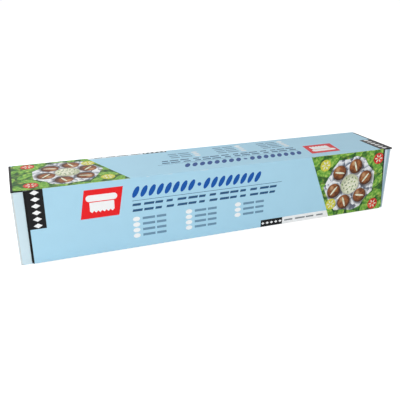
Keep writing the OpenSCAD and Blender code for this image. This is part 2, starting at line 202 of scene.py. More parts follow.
def dress(node_name, finish):
    """Gives a CAD node a finish. Only its material changes."""
    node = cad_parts[node_name]
    node.data.materials.clear()
    node.data.materials.append(finish.material)
    print("dressed", node_name, "in", finish.material.name)


# %% [markdown]
# ## The board
# The carton is made of thin fluted board: a wavy middle between two papers. The outer paper is
# coated and printed, and the inner one is a plain pale grey-brown. Such board shows three things
# from close by: the flutes read through the print as faint stripes, the print wears pale along the
# folds, and the inner paper is flecked with fibres. One recipe does all three, and masks made from
# the position tell the printed side from the plain one.

# %% Colours of the board
FLUTE = 3.2 * MM                    # from one wave of the board's middle to the next
SKY = tone(178, 222, 243)
PALE = tone(212, 233, 242)
WORN = tone(226, 234, 238)          # where the print has rubbed off a fold
INK_DARK = tone(26, 26, 28)
LINE_DARK = tone(4, 5, 7)           # the line down the left end of the print
FIELD_GREEN = tone(96, 140, 66)
CUT_PALE = tone(222, 230, 234)      # the end panels' upright edges, where the coating wraps the cut


# %% The board's recipe
def flute_waves(finish):
    """The flutes, as very shallow waves under the paper."""
    flutes = finish.math("SINE", finish.math("MULTIPLY", finish.x, 2 * math.pi / FLUTE))
    finish.bump(finish.rise(flutes, -1, 1), 0.02 * MM, 0.5)


def on_upright_edge(finish):
    """1 on the upright edges of the end panels."""
    return finish.both(finish.within(finish.z, 0.2 * MM, FLUTES_Z - 0.5 * MM),
                       finish.above(finish.math("ABSOLUTE", finish.x), END_X - BOARD))


def board_finish(name, is_printed, outside):
    """Fluted board. `is_printed` says where the coated side is, and `outside` its colour."""
    finish = Finish(name, SKY, 0.5, Specular_IOR_Level=0.16)
    printed = is_printed(finish)
    clouds = finish.noise(18 * MM, detail=2)
    fibres = finish.noise(0.9 * MM, stretch=(1, 1, 0.35), detail=4)
    kraft = finish.mix(finish.rise(fibres, 0.35, 0.65), tone(192, 184, 170), tone(206, 199, 186))
    kraft = finish.mix(finish.rise(finish.cells(1.6 * MM, stretch=(0.4, 1, 1)), 0.16, 0.05),
                       kraft, tone(168, 158, 142))
    kraft = finish.mix(on_upright_edge(finish), kraft, CUT_PALE)
    faded = finish.rise(clouds, 0.3, 0.7, 0.0, 0.035)
    coated = finish.mix(faded, outside(finish), tone(120, 165, 190))
    finish.paint(finish.mix(printed, kraft, coated))
    finish.gloss(finish.rise(printed, 0, 1, 0.86, 0.42))
    flute_waves(finish)
    finish.bump(fibres, 0.02 * MM, 0.4)
    return finish


# %% Where the lid is printed, and in what colours
FOLD = 0.95 * MM            # to just past the rounding between the top and the flap
FOOT = 2.6 * MM             # to just past the flap's rounded lower corners
PICTURE_W = 120 * MM        # from the carton's end to the picture's edge at the fold


def lid_printed(finish):
    short_of_hinge = finish.below(finish.y, lid_high.y - 0.03 * MM)
    return finish.either(finish.below(finish.y, FACE_Y + SKIN),
                         finish.both(short_of_hinge, finish.above(finish.z, TOP_Z - SKIN)))


def lid_outside(finish):
    """Light blue. The artwork runs round the front fold, and the left line to the flap's corner."""
    corner = finish.both(finish.below(finish.y, FACE_Y + FOLD),
                         finish.above(finish.z, TOP_Z - FOLD))
    down = finish.math("SUBTRACT", TOP_Z, finish.z)
    front = finish.below(finish.math("SUBTRACT", finish.y, FACE_Y), down)
    top = finish.apart_from(front)
    dark = finish.either(
        finish.both(front, finish.within(finish.x, FLAP_LEFT, FLAP_LEFT + BAND)),
        finish.both(front, finish.within(finish.x, FLAP_RIGHT - LINE, FLAP_RIGHT)),
        finish.both(top, finish.below(finish.x, -END_X + LINE)),
        finish.both(top, finish.above(finish.x, END_X - BAND)))
    green = finish.either(
        finish.both(front, finish.within(finish.x, END_X - PICTURE_W, FLAP_RIGHT - LINE)),
        finish.both(top, finish.within(finish.x, -END_X + LINE, -END_X + PICTURE_W)))
    leaves = finish.mix(finish.rise(finish.noise(5 * MM), 0.4, 0.6),
                        FIELD_GREEN, tone(176, 200, 88))
    colour = finish.mix(finish.both(corner, green), SKY, leaves)
    colour = finish.mix(finish.both(corner, dark), colour, INK_DARK)
    line_foot = finish.both(front, finish.below(finish.z, FLAP_Z + FOOT),
                            finish.within(finish.x, FLAP_LEFT, FLAP_LEFT + LINE))
    colour = finish.mix(line_foot, colour, LINE_DARK)
    rubbed = finish.rise(finish.noise(2.5 * MM, stretch=(0.4, 1, 1)), 0.5, 0.75, 0, 0.55)
    return finish.mix(finish.both(corner, rubbed), colour, WORN)


# %% Where the tray is printed, and in what colours
PAINTED_SHADE_W = 5.5 * MM            # how far the painted shade at the right end reaches on to the front wall


def tray_printed(finish):
    """The outside. Above the back wall's board only the thin paper of the hinge is left."""
    hinge = finish.above(finish.z, FLUTES_Z + 0.02 * MM)
    back = finish.above(finish.y, BACK_Y - SKIN)
    back_paper = finish.above(finish.y, BACK_Y - 0.05 * MM)
    return finish.either(finish.below(finish.y, WALL_Y + SKIN),
                         finish.both(hinge, back_paper),
                         finish.both(finish.apart_from(hinge), back),
                         finish.below(finish.z, SKIN),
                         finish.above(finish.math("ABSOLUTE", finish.x), END_X - SKIN))


def tray_outside(finish):
    """Light blue. The front wall is pale, and painted shade darkens its right end."""
    front = finish.below(finish.y, WALL_Y + 0.6 * MM)
    painted_shade = finish.above(finish.x, END_X - PAINTED_SHADE_W)
    colour = finish.mix(front, SKY, PALE)
    # Painted shade: the front wall's last few millimetres at the right end are a darker blue-grey.
    return finish.mix(finish.both(front, painted_shade), colour, tone(160, 190, 208))


# %% Dress the lid and the tray
lid_board = board_finish("lid_board", lid_printed, lid_outside)
tray_board = board_finish("tray_board", tray_printed, tray_outside)
# Beside the flap, the top panel's cut edge is dark
beside_flap = lid_board.either(lid_board.below(lid_board.x, FLAP_LEFT - 0.01 * MM),
                               lid_board.above(lid_board.x, FLAP_RIGHT + 0.01 * MM))
cut = lid_board.both(lid_board.below(lid_board.y, FACE_Y + 1.0 * MM), beside_flap,
                     lid_board.above(lid_board.z, TOP_Z - 1.6 * MM))
painted = lid_board.shader.inputs["Base Color"].links[0].from_socket
lid_board.paint(lid_board.mix(cut, painted, tone(18, 19, 22)))
dress("lid", lid_board)
dress("tray", tray_board)

# %% [markdown]
# ## The inks
# The print is thin solids on the board, so each ink needs only its own finish. Offset ink is never
# quite even: a fine grain runs through it. The front and the top carry the same artwork, turned
# half round, so two helpers measure how far a point lies from the fold and from the end where its
# face's picture is, and one recipe serves both faces.

# %% The recipe of an ink
def ink_finish(name, colour, grain):
    """An ink with a fine grain. `colour` is a function that returns its colour."""
    finish = Finish(name, SKY, 0.4, Specular_IOR_Level=0.12)
    colour = colour(finish)
    speck = finish.rise(finish.noise(0.5 * MM, detail=2), 0.3, 0.7, 0.0, grain)
    finish.paint(finish.mix(speck, colour, tone(150, 150, 150)))
    flute_waves(finish)
    return finish


# %% Where a point of the print lies
def is_front(finish):
    """1 on the flap, and 0 on the top."""
    return finish.below(finish.y, FACE_Y + 0.01 * MM)


def by_face(finish, on_front, on_top):
    """The first value on the flap, and the second on the top."""
    front = is_front(finish)
    return finish.math("ADD", finish.math("MULTIPLY", front, on_front),
                       finish.math("MULTIPLY", finish.apart_from(front), on_top))


def from_fold(finish):
    """How far a point of the print lies from the front fold, on either face."""
    down = finish.math("SUBTRACT", TOP_Z, finish.z)
    back = finish.math("SUBTRACT", finish.y, FACE_Y)
    return by_face(finish, down, back)


def along(finish):
    """How far a point lies from the carton's end at which its face's picture is."""
    right = finish.math("SUBTRACT", END_X, finish.x)
    left = finish.math("ADD", END_X, finish.x)
    return by_face(finish, right, left)


# %% The inks of the band, the sign and the lines
PICTURE_END = 130 * MM      # from the carton's end to past the picture
LIST_END = 360 * MM         # and to past the list of small marks
LIST_TOP = 24 * MM          # from the fold to short of the list
LIST_FOOT = 70 * MM         # and to past its last row
STRIP_TOP = 75.5 * MM       # from the fold to inside the foot strip


def black(finish):
    """A soft black, and a deeper one on the line at the end away from the picture."""
    start = finish.math("ADD", finish.math("MULTIPLY", is_front(finish), FLAP_LEFT + END_X), LINE)
    across = finish.math("SUBTRACT", 2 * END_X, along(finish))
    return finish.mix(finish.below(across, start), tone(20, 20, 22), LINE_DARK)


def red(finish):
    """The sign's even red, and the mottled flesh of the fruit in the picture."""
    flesh = finish.ramp(finish.noise(4 * MM), (0.3, tone(170, 24, 22)), (0.5, tone(214, 44, 36)),
                        (0.7, tone(240, 104, 80)))
    sign = finish.mix(is_front(finish), tone(222, 24, 36), tone(243, 26, 32))
    return finish.mix(finish.below(along(finish), PICTURE_END), sign, flesh)


def white(finish):
    """White, and a little bluer for the list's marks on the top, which show faintly there."""
    marks = finish.both(finish.apart_from(is_front(finish)),
                        finish.within(along(finish), PICTURE_END, LIST_END),
                        finish.within(from_fold(finish), LIST_TOP, LIST_FOOT))
    return finish.mix(marks, tone(253, 254, 254), tone(230, 239, 244))


def blue(finish):
    """The title's blue, and the greyer one of the lines under it, which start sooner in front."""
    front = is_front(finish)
    down = from_fold(finish)
    lines = finish.either(finish.above(down, 28.7 * MM),
                          finish.both(front, finish.above(down, 24 * MM)))
    title = finish.mix(front, tone(12, 72, 142), tone(8, 86, 172))
    return finish.mix(lines, title, tone(46, 88, 128))


def grey(finish):
    """The list's grey, and the one of the small marks in the foot strip."""
    foot = finish.above(from_fold(finish), STRIP_TOP)
    return finish.mix(foot, tone(112, 150, 176), tone(132, 138, 142))


# %% [markdown]
# The picture shows buns round a dip, on a sheet of foil that lies on leaves. Leaves and fruit are
# noise read through a run of colours. The foil is facets, each tilted its own way, the buns are
# darker towards their rims, and both need to know where the nearest bun is: the angle round the
# plate, rounded to sixths of a turn, gives its middle.

# %% The inks of the leaves and the fruit
def leaf_field(finish):
    leaves = finish.ramp(finish.noise(7 * MM, detail=5), (0.3, tone(30, 74, 30)),
                         (0.44, tone(62, 122, 48)), (0.56, tone(112, 168, 62)),
                         (0.66, tone(190, 208, 96)), (0.8, tone(228, 232, 170)))
    between = finish.rise(finish.cells(6 * MM), 0.25, 0.75, 0, 0.75)
    return finish.mix(between, leaves, tone(22, 58, 26))


def lime(finish):
    return finish.ramp(finish.noise(3.5 * MM, detail=5), (0.3, tone(54, 120, 44)),
                       (0.5, tone(118, 178, 66)), (0.7, tone(196, 220, 112)))


def lemon(finish):
    return finish.ramp(finish.noise(3 * MM), (0.3, tone(190, 192, 52)), (0.6, tone(226, 220, 86)),
                       (0.8, tone(244, 240, 150)))


# %% Places on the plate
PLATE_IN = 60 * MM          # from the carton's end to the plate's middle
PLATE_DOWN = 42 * MM        # from the fold to the plate's middle
RING_R = 24 * MM            # from there to the middle of each bun
DIP_R = 13.6 * MM


def from_plate(finish):
    """A point's place in the picture: to the right of the plate's middle, and above it."""
    return (finish.math("SUBTRACT", PLATE_IN, along(finish)),
            finish.math("SUBTRACT", PLATE_DOWN, from_fold(finish)))


def from_bun(finish, across, upward):
    """The same place as seen from the middle of the nearest of the six buns."""
    turn = finish.math("ARCTAN2", upward, across)
    sixth = math.pi / 3
    number = finish.math("FLOOR", finish.math("ADD", finish.math("DIVIDE", turn, sixth), 0.25))
    middle = finish.math("MULTIPLY", finish.math("ADD", number, 0.25), sixth)
    bun_across = finish.math("MULTIPLY", finish.math("COSINE", middle), RING_R)
    bun_upward = finish.math("MULTIPLY", finish.math("SINE", middle), RING_R)
    return finish.math("SUBTRACT", across, bun_across), finish.math("SUBTRACT", upward, bun_upward)


def reach_from(finish, place, right, up):
    """How far a place lies from a point that is `right` and `up` of its middle."""
    return finish.reach(finish.math("SUBTRACT", place[0], right),
                        finish.math("SUBTRACT", place[1], up))


# %% The inks of the foil, the buns and the dip
def silver(finish):
    """Crumpled foil: facets of light and dark, under the soft shadows of the buns and the dip."""
    size = 6 * MM
    facet = finish.add("TexVoronoi", {"Vector": finish.place, "Scale": 1 / size}).outputs
    tilt = finish.add("VectorMath", {0: facet["Color"], 1: (0.5, 0.5, 0.5)}, operation="SUBTRACT")
    arm = finish.add("VectorMath", {0: finish.place, 1: facet["Position"]}, operation="SUBTRACT")
    slope = finish.add("VectorMath", {0: tilt.outputs[0], 1: arm.outputs[0]},
                       operation="DOT_PRODUCT")
    slope = finish.math("MULTIPLY", slope.outputs["Value"], 2 / size)
    shade = finish.add("SeparateColor", {0: facet["Color"]}).outputs[0]
    bent = finish.math("ADD", slope, finish.math("MULTIPLY", shade, 0.5))
    bent = finish.math("ADD", bent, finish.math("MULTIPLY", finish.noise(2.5 * MM, detail=5), 0.5))
    colour = finish.ramp(bent, (0.1, tone(104, 110, 124)), (0.3, tone(172, 180, 192)),
                         (0.5, tone(226, 230, 236)), (0.75, tone(250, 252, 254)))
    place = from_plate(finish)
    bun = reach_from(finish, from_bun(finish, *place), 1.2 * MM, -1.6 * MM)
    dip = reach_from(finish, place, 0.8 * MM, -1 * MM)
    shadow = finish.either(finish.rise(bun, 9 * MM, 13 * MM, 0.8, 0),
                           finish.rise(dip, 13 * MM, 16 * MM, 0.6, 0))
    return finish.mix(shadow, colour, tone(74, 70, 74))


def brown(finish):
    """Baked crust: mottled, bright towards the upper left and dark towards its rim."""
    crust = finish.noise(4.5 * MM, detail=6, roughness=0.62)
    colour = finish.ramp(crust, (0.3, tone(84, 42, 22)), (0.45, tone(128, 72, 38)),
                         (0.6, tone(166, 102, 56)), (0.75, tone(204, 148, 94)))
    place = from_bun(finish, *from_plate(finish))
    rim = finish.rise(reach_from(finish, place, -1.4 * MM, 1.6 * MM), 6 * MM, 11.5 * MM, 0, 0.85)
    bright = finish.rise(reach_from(finish, place, -3.4 * MM, 4 * MM), 0.5 * MM, 4.5 * MM, 0.6, 0)
    colour = finish.mix(rim, colour, tone(44, 20, 12))
    return finish.mix(bright, colour, tone(232, 186, 138))


def cream(finish):
    """The dip in the middle, a little hollow, and the cuts on the buns."""
    colour = finish.ramp(finish.noise(3 * MM, detail=4), (0.3, tone(206, 214, 178)),
                         (0.5, tone(236, 238, 214)), (0.75, tone(252, 252, 240)))
    place = from_plate(finish)
    hollow = finish.rise(reach_from(finish, place, 2 * MM, -2.4 * MM), 7 * MM, 15 * MM, 0, 0.55)
    dip = finish.below(finish.reach(*place), DIP_R)
    return finish.mix(finish.both(hollow, dip), colour, tone(150, 158, 118))


# %% Ink every part of the print
INKS = {"ink_black": black, "ink_red": red, "ink_blue": blue, "ink_grey": grey,
        "ink_white": white, "ink_leaf": leaf_field, "ink_lime": lime, "ink_silver": silver,
        "ink_brown": brown, "ink_cream": cream, "ink_lemon": lemon}
for ink, colour in INKS.items():
    dress(ink, ink_finish(ink, colour, grain=0.01 if ink == "ink_black" else 0.05))

# %% [markdown]
# ## The cutter
# The toothed strip is rolled spring steel. Rolling leaves fine lines along the strip, so its noise
# is stretched forty times along X, and the same noise drives both the gloss and a very shallow
# bump. A flat strip mirrors one band of the room, so a painted reflection darkens it from one
# edge to the other.
# The teeth are ground after rolling, so they are brighter, and their lines run across the strip.

# %% The finish of the steel
GROUND_H = 2 * MM           # how far up the strip the teeth are ground
steel = Finish("rolled_steel", tone(196, 198, 202), 0.3, Metallic=1.0)
lines = steel.noise(0.35 * MM, stretch=(0.025, 1, 1), detail=5)
# Painted reflection: the strip darkens from one edge to the other, by its height.
climb = steel.rise(steel.z, strip_low.z, strip_high.z, 0.36, 0.64)
shade = steel.math("ADD", steel.math("MULTIPLY", lines, 0.5), steel.math("MULTIPLY", climb, 0.5))
rolled = steel.ramp(shade, (0.38, tone(116, 119, 125)), (0.5, tone(160, 163, 168)),
                    (0.62, tone(198, 200, 204)))
grinding = steel.noise(0.3 * MM, stretch=(1, 1, 0.05), detail=4)
ground_steel = steel.mix(steel.rise(grinding, 0.3, 0.7), tone(170, 173, 178), tone(222, 224, 227))
on_teeth = steel.rise(steel.z, strip_low.z + GROUND_H, strip_low.z + GROUND_H + 0.3 * MM, 1, 0)
steel.paint(steel.mix(on_teeth, rolled, ground_steel))
steel.gloss(steel.rise(lines, 0.3, 0.7, 0.16, 0.34))
steel.bump(lines, 0.01 * MM, 0.6)
dress("cutter_strip", steel)

# %% [markdown]
# ## The core
# A card core is wound from strips of brown paper, which leaves a seam that climbs round the tube
# like the stripe on a barber's pole. The angle round the tube, added to the distance along it,
# gives that stripe, and the layers show as fine rings on the tube's ends.

# %% The finish of the core
CORE_Y = (core_low.y + core_high.y) / 2
CORE_Z = (core_low.z + core_high.z) / 2
STRIP_W = 70 * MM           # how far the seam climbs in one turn
LAYER = 0.5 * MM            # thickness of one layer of the card

card = Finish("wound_card", tone(176, 146, 108), 0.82)
across = card.math("SUBTRACT", card.y, CORE_Y)
upward = card.math("SUBTRACT", card.z, CORE_Z)
turn = card.math("DIVIDE", card.math("ARCTAN2", upward, across), 2 * math.pi)
climb = card.math("FRACT", card.math("ADD", card.math("DIVIDE", card.x, STRIP_W), turn))
seam = card.rise(card.math("PINGPONG", climb, 0.5), 0.0, 0.012, 1.0, 0.0)
fibre = card.noise(1.2 * MM, stretch=(0.5, 1, 1), detail=4)
paper = card.mix(card.rise(fibre, 0.35, 0.65), tone(158, 128, 92), tone(190, 160, 122))
layers = card.math("SINE", card.math("MULTIPLY", card.reach(across, upward), 2 * math.pi / LAYER))
end_face = card.above(card.math("ABSOLUTE", card.x), core_high.x - 0.05 * MM)
paper = card.mix(card.both(end_face, card.rise(layers, -0.2, 1, 0, 0.5)), paper, tone(120, 92, 62))
card.paint(card.mix(card.math("MULTIPLY", seam, 0.7), paper, tone(104, 78, 52)))
card.bump(card.math("SUBTRACT", fibre, seam), 0.06 * MM, 0.6)
dress("core", card)

# %% [markdown]
# ## The roll of foil
# The CAD roll is a smooth drum with stepped ends. The real one is tight but never quite smooth: the
# turns on it are a little dented, and its ends look like a record, because each turn lies a hair
# beside the next. It could be drawn as a spiral, but the turns are far thinner than anything that
# shows. So a cylinder is made at the roll's size, its ends are inset band by band, the bore is
# bridged through, and the outside is divided finely and dented by a displacement.

# %% Helpers for work in edit mode
SMOOTH = math.radians(35)   # edges that turn by more than this stay sharp


def start(name):
    """Names the new primitive, selects it alone and applies its place, turn and scale."""
    piece = bpy.context.active_object
    piece.name = piece.data.name = name
    bpy.ops.object.select_all(action="DESELECT")
    piece.select_set(True)
    bpy.context.view_layer.objects.active = piece
    bpy.ops.object.transform_apply(location=True, rotation=True, scale=True)
    return piece


def select(piece, kind, test):
    """Selects the vertices, edges or faces of a piece that pass a test, in edit mode.

    A vertex is tested by its place, a face by its middle and an edge by its two ends."""
    bpy.ops.object.mode_set(mode="EDIT")
    bpy.ops.mesh.select_mode(type=kind)
    bpy.ops.mesh.select_all(action="DESELECT")
    bpy.ops.object.mode_set(mode="OBJECT")
    mesh = piece.data
    things = {"VERT": mesh.vertices, "EDGE": mesh.edges, "FACE": mesh.polygons}[kind]
    for thing in things:
        if kind == "EDGE":
            ends = [mesh.vertices[v].co for v in thing.vertices]
            thing.select = test(ends[0], ends[1])
        else:
            thing.select = test(thing.co if kind == "VERT" else thing.center)
    bpy.ops.object.mode_set(mode="EDIT")


def apply_all(piece):
    """Applies the modifiers of a piece."""
    bpy.ops.object.mode_set(mode="OBJECT")
    bpy.context.view_layer.objects.active = piece
    for modifier in list(piece.modifiers):
        bpy.ops.object.modifier_apply(modifier=modifier.name)


def finish_piece(piece, body, finish):
    """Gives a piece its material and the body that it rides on."""
    bpy.ops.object.mode_set(mode="OBJECT")
    piece.data.materials.clear()
    piece.data.materials.append(finish.material)
    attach(piece, body)
    print(piece.name, len(piece.data.polygons), "faces, rides on", body)


# %% Wind the roll
ROLL = Vector((0, CORE_Y, CORE_Z))
ROLL_R = (roll_high.y - roll_low.y) / 2 - 0.2 * MM      # leaves room for the free end
BORE_R = (core_high.y - core_low.y) / 2 + 0.05 * MM
FOIL_W = roll_high.x - roll_low.x
BANDS = 16
BAND_DEPTH = 0.3 * MM       # the most that a band lies back from the outer one
BAND_SLOPE = 0.08 * MM      # width of the slope from one band to the next

bpy.ops.object.select_all(action="DESELECT")
bpy.ops.mesh.primitive_cylinder_add(vertices=144, radius=ROLL_R, depth=FOIL_W, location=ROLL,
                                    rotation=(0, math.pi / 2, 0))
roll = start("wound_foil")
band_w = (ROLL_R - BORE_R) / BANDS
for side in (-1, 1):
    select(roll, "FACE", lambda p: abs(p.x - side * FOIL_W / 2) < 0.01 * MM)
    depth = 0.0
    for band in range(BANDS):
        # A sine stands in for chance, so the bands lie unevenly and the same each time
        step = BAND_DEPTH * (0.5 + 0.5 * math.sin(band * 2.3 + side)) - depth
        if band:
            bpy.ops.mesh.inset(thickness=BAND_SLOPE)
            bpy.ops.transform.translate(value=(-side * step, 0, 0))
            depth += step
        bpy.ops.mesh.inset(thickness=band_w - (BAND_SLOPE if band else 0))
    bpy.ops.mesh.delete(type="ONLY_FACE")
inner = BORE_R + 0.2 * band_w
select(roll, "VERT", lambda p: math.hypot(p.y - ROLL.y, p.z - ROLL.z) < inner)
bpy.ops.mesh.select_mode(type="EDGE")
bpy.ops.mesh.bridge_edge_loops()
print("the bands are", round(band_w / MM, 2), "mm wide")

# %% Divide and dent its outside
select(roll, "EDGE", lambda a, b: abs(a.x - b.x) > FOIL_W / 2
       and math.hypot(a.y - ROLL.y, a.z - ROLL.z) > 0.9 * ROLL_R)
bpy.ops.mesh.subdivide(number_cuts=110)
select(roll, "VERT", lambda p: math.hypot(p.y - ROLL.y, p.z - ROLL.z) > ROLL_R - 0.05 * MM)
bpy.ops.object.mode_set(mode="OBJECT")
outside = roll.vertex_groups.new(name="outside")
outside.add([v.index for v in roll.data.vertices if v.select and abs(v.co.x) < FOIL_W / 2 - 1 * MM],
            1.0, "REPLACE")
dents = bpy.data.textures.new("dents", "CLOUDS")
dents.noise_scale = 0.02
dents.noise_depth = 2
denting = roll.modifiers.new("denting", "DISPLACE")
denting.texture = dents
denting.vertex_group = "outside"
denting.strength = 0.35 * MM
denting.mid_level = 0.75
apply_all(roll)
bpy.ops.object.shade_smooth_by_angle(angle=SMOOTH)
print("wound foil", len(roll.data.polygons), "faces")

# %% [markdown]
# Foil is a mirror, so on a roll the surroundings show as long light and dark bands that run along
# it. In a white studio there is little to mirror, so the bands are painted: the angle round the
# roll, bent by a broad noise, reads a noise of one dimension. The fine lines of the rolling mill
# run along the sheet, and so round the roll. On the roll's ends the many edges look like a grooved
# grey disc.

# %% The finish of the foil
foil = Finish("bright_foil", tone(200, 203, 208), 0.2, Metallic=1.0)
across = foil.math("SUBTRACT", foil.y, ROLL.y)
upward = foil.math("SUBTRACT", foil.z, ROLL.z)
reach = foil.reach(across, upward)
mill = foil.noise(0.5 * MM, stretch=(1, 0.02, 0.02), detail=4)
creases = foil.noise(14 * MM, stretch=(0.4, 1, 1), detail=4, roughness=0.5)
angle = foil.math("ARCTAN2", across, upward)
bent = foil.math("ADD", foil.math("MULTIPLY", angle, 4.0), foil.math("MULTIPLY", creases, 1.1))
bands = foil.add("TexNoise", {"W": bent, "Scale": 1.0, "Detail": 3.0, "Roughness": 0.45},
                 noise_dimensions="1D").outputs["Fac"]
rings = foil.math("MULTIPLY", reach, 1 / (0.35 * MM))
groove = foil.add("TexNoise", {"W": rings, "Scale": 1.0, "Detail": 4.0},
                  noise_dimensions="1D").outputs["Fac"]
end_mask = foil.both(foil.above(foil.math("ABSOLUTE", foil.x), FOIL_W / 2 - 0.8 * MM),
                     foil.below(reach, ROLL_R - 0.12 * MM))
streaks = foil.noise(2.5 * MM, stretch=(1, 0.04, 0.04), detail=4)
light = foil.math("ADD", foil.math("MULTIPLY", bands, 0.85), foil.math("MULTIPLY", streaks, 0.15))
sheen = foil.ramp(light, (0.36, tone(112, 115, 121)), (0.45, tone(160, 163, 168)),
                  (0.51, tone(200, 202, 206)), (0.56, tone(170, 173, 178)),
                  (0.64, tone(126, 129, 135)))
grooved = foil.mix(foil.rise(groove, 0.35, 0.65), tone(188, 191, 196), tone(112, 115, 120))
foil.paint(foil.mix(end_mask, sheen, grooved))
foil.gloss(foil.math("ADD", foil.rise(mill, 0.3, 0.7, 0.2, 0.34),
                     foil.math("MULTIPLY", end_mask, 0.2)))
foil.bump(mill, 0.01 * MM, 0.6)
foil.bump(creases, 0.6 * MM, 0.5)
foil.bump(foil.noise(3.5 * MM, stretch=(0.45, 1, 1), detail=3), 0.3 * MM, 0.55)
finish_piece(roll, "base", foil)
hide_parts("foil_roll")

# %% [markdown]
# ## The free end of the foil
# The last turn comes over the roll from the back and ends in an edge along the roll, a little in
# front of its top. It stands off the roll and ripples. A row of edges is spun round the roll's axis
# to make the sheet. The rows near its free edge are then scaled outwards about that axis, each a
# little more than the one before, and a displacement ripples only those.

# %% Spin the sheet
TAIL_EDGE = 35          # degrees from straight up to the free edge, towards the front
TAIL_TURN = 80          # degrees of the roll that the sheet covers
TAIL_STEPS = 40


def turned(p):
    """Degrees round the roll from straight up, towards the front."""
    return math.degrees(math.atan2(ROLL.y - p.y, p.z - ROLL.z))


bpy.ops.object.select_all(action="DESELECT")
bpy.ops.mesh.primitive_grid_add(x_subdivisions=180, y_subdivisions=1, size=1, location=ROLL)
tail = start("foil_end")
select(tail, "VERT", lambda p: p.y > ROLL.y)
bpy.ops.mesh.delete(type="VERT")
select(tail, "VERT", lambda p: True)
bpy.ops.transform.translate(value=(0, 0.5, ROLL_R - 0.1 * MM))
bpy.ops.transform.resize(value=(FOIL_W - 0.8 * MM, 1, 1), center_override=ROLL)
bpy.ops.mesh.spin(steps=TAIL_STEPS, angle=math.radians(TAIL_TURN), center=ROLL, axis=(1, 0, 0))
bpy.ops.object.mode_set(mode="OBJECT")
side = 1 if max(turned(v.co) for v in tail.data.vertices) > 1 else -1
swing = math.radians(TAIL_EDGE - (TAIL_TURN if side > 0 else 0))
to_axis, from_axis = Matrix.Translation(-ROLL), Matrix.Translation(ROLL)
tail.data.transform(from_axis @ Matrix.Rotation(swing, 4, "X") @ to_axis)
print("the sheet lies from", round(min(turned(v.co) for v in tail.data.vertices)),
      "to", round(max(turned(v.co) for v in tail.data.vertices)), "degrees")

# %% Lift and ripple its free edge
CLEAR = 0.3 * MM        # how far the sheet is lifted in its first third
STAND = 3 * MM          # how much further its free edge stands off, in its last third
row_turn = TAIL_TURN / TAIL_STEPS
for row in range(TAIL_STEPS + 1):
    share = row / TAIL_STEPS
    lift = CLEAR * min(1, 3 * share) + STAND * max(0, 3 * share - 2) ** 2
    angle = TAIL_EDGE - TAIL_TURN + row * row_turn
    select(tail, "VERT", lambda p: abs(turned(p) - angle) < row_turn / 3)
    grow = 1 + lift / ROLL_R
    bpy.ops.transform.resize(value=(1, grow, grow), center_override=ROLL)
bpy.ops.object.mode_set(mode="OBJECT")
free = tail.vertex_groups.new(name="free")
for vertex in tail.data.vertices:
    # The ripples start after three fifths of the sheet and are full at its edge
    share = 1 - (TAIL_EDGE - turned(vertex.co)) / TAIL_TURN
    free.add([vertex.index], max(0, min(1, 2.5 * share - 1.5)), "REPLACE")
for name, size, height in (("ripples", 30 * MM, 3 * MM), ("crinkles", 8 * MM, 0.8 * MM)):
    clouds = bpy.data.textures.new(name, "CLOUDS")
    clouds.noise_scale = size
    rippling = tail.modifiers.new(name, "DISPLACE")
    rippling.texture, rippling.vertex_group = clouds, "free"
    rippling.strength, rippling.mid_level = height, 0.5
thickness = tail.modifiers.new("thickness", "SOLIDIFY")
thickness.thickness, thickness.offset = 0.08 * MM, 0
apply_all(tail)
select(tail, "FACE", lambda p: True)
bpy.ops.mesh.normals_make_consistent(inside=False)
bpy.ops.object.mode_set(mode="OBJECT")
bpy.ops.object.shade_smooth_by_angle(angle=SMOOTH)
finish_piece(tail, "base", foil)

# %% [markdown]
# ## The board's cut edges
# Where the blank was cut across its flutes, the wavy middle shows between the two papers. A picture
# of waves on a flat edge would look flat from close by, so the wave is real: a long strip of paper
# is divided eight times per flute, its columns are moved aside by the height of a sine, and it gets
# a thickness. Two thin strips beside it are the papers. The same helper makes every cut edge, and a
# matrix lays each one where it belongs.

# %% One cut edge
WAVE = 0.4 * MM         # how far a flute swings to each side of the board's middle
EDGE_H = 0.16 * MM      # height of an edge strip


def cut_edge(name, length, middle, run, out):
    """A wavy edge of this length. `run` is its direction and `out` the way that the edge faces."""
    flutes = max(2, round(length / FLUTE))
    column = length / (8 * flutes)
    bpy.ops.object.select_all(action="DESELECT")
    bpy.ops.mesh.primitive_grid_add(x_subdivisions=8 * flutes, y_subdivisions=1, size=1,
                                    rotation=(math.pi / 2, 0, 0))
    bpy.context.active_object.scale = (length, EDGE_H, 1)
    wave = start(name)
    for phase in (1, 2, 3, 5, 6, 7):
        select(wave, "VERT", lambda p: round((p.x + length / 2) / column) % 8 == phase)
        bpy.ops.transform.translate(value=(0, WAVE * math.sin(math.pi * phase / 4), 0))
    bpy.ops.object.mode_set(mode="OBJECT")
    paper = wave.modifiers.new("paper", "SOLIDIFY")
    paper.thickness, paper.offset = 0.2 * MM, 0
    apply_all(wave)
    liners = []
    for side in (-1, 1):
        bpy.ops.mesh.primitive_cube_add(size=1, location=(0, side * (BOARD - LINER) / 2, 0),
                                        scale=(length, LINER - 0.02 * MM, EDGE_H))
        liners.append(start(name + "_liner"))
        select(liners[-1], "EDGE", lambda a, b: a.z > 0 and b.z > 0)
        bpy.ops.mesh.bevel(offset=0.04 * MM)
        bpy.ops.object.mode_set(mode="OBJECT")
    for piece in liners + [wave]:
        piece.select_set(True)
    bpy.context.view_layer.objects.active = wave
    bpy.ops.object.join()
    across = Vector(out).cross(Vector(run))
    turn = Matrix((run, across, out)).transposed().to_4x4()
    wave.data.transform(Matrix.Translation(middle) @ turn)
    return wave


def join_edges(name, edges, body, finish):
    """Makes one piece of these edges."""
    bpy.ops.object.select_all(action="DESELECT")
    for edge in edges:
        edge.select_set(True)
    bpy.context.view_layer.objects.active = edges[0]
    if len(edges) > 1:
        bpy.ops.object.join()
    edges[0].name = edges[0].data.name = name
    finish_piece(edges[0], body, finish)


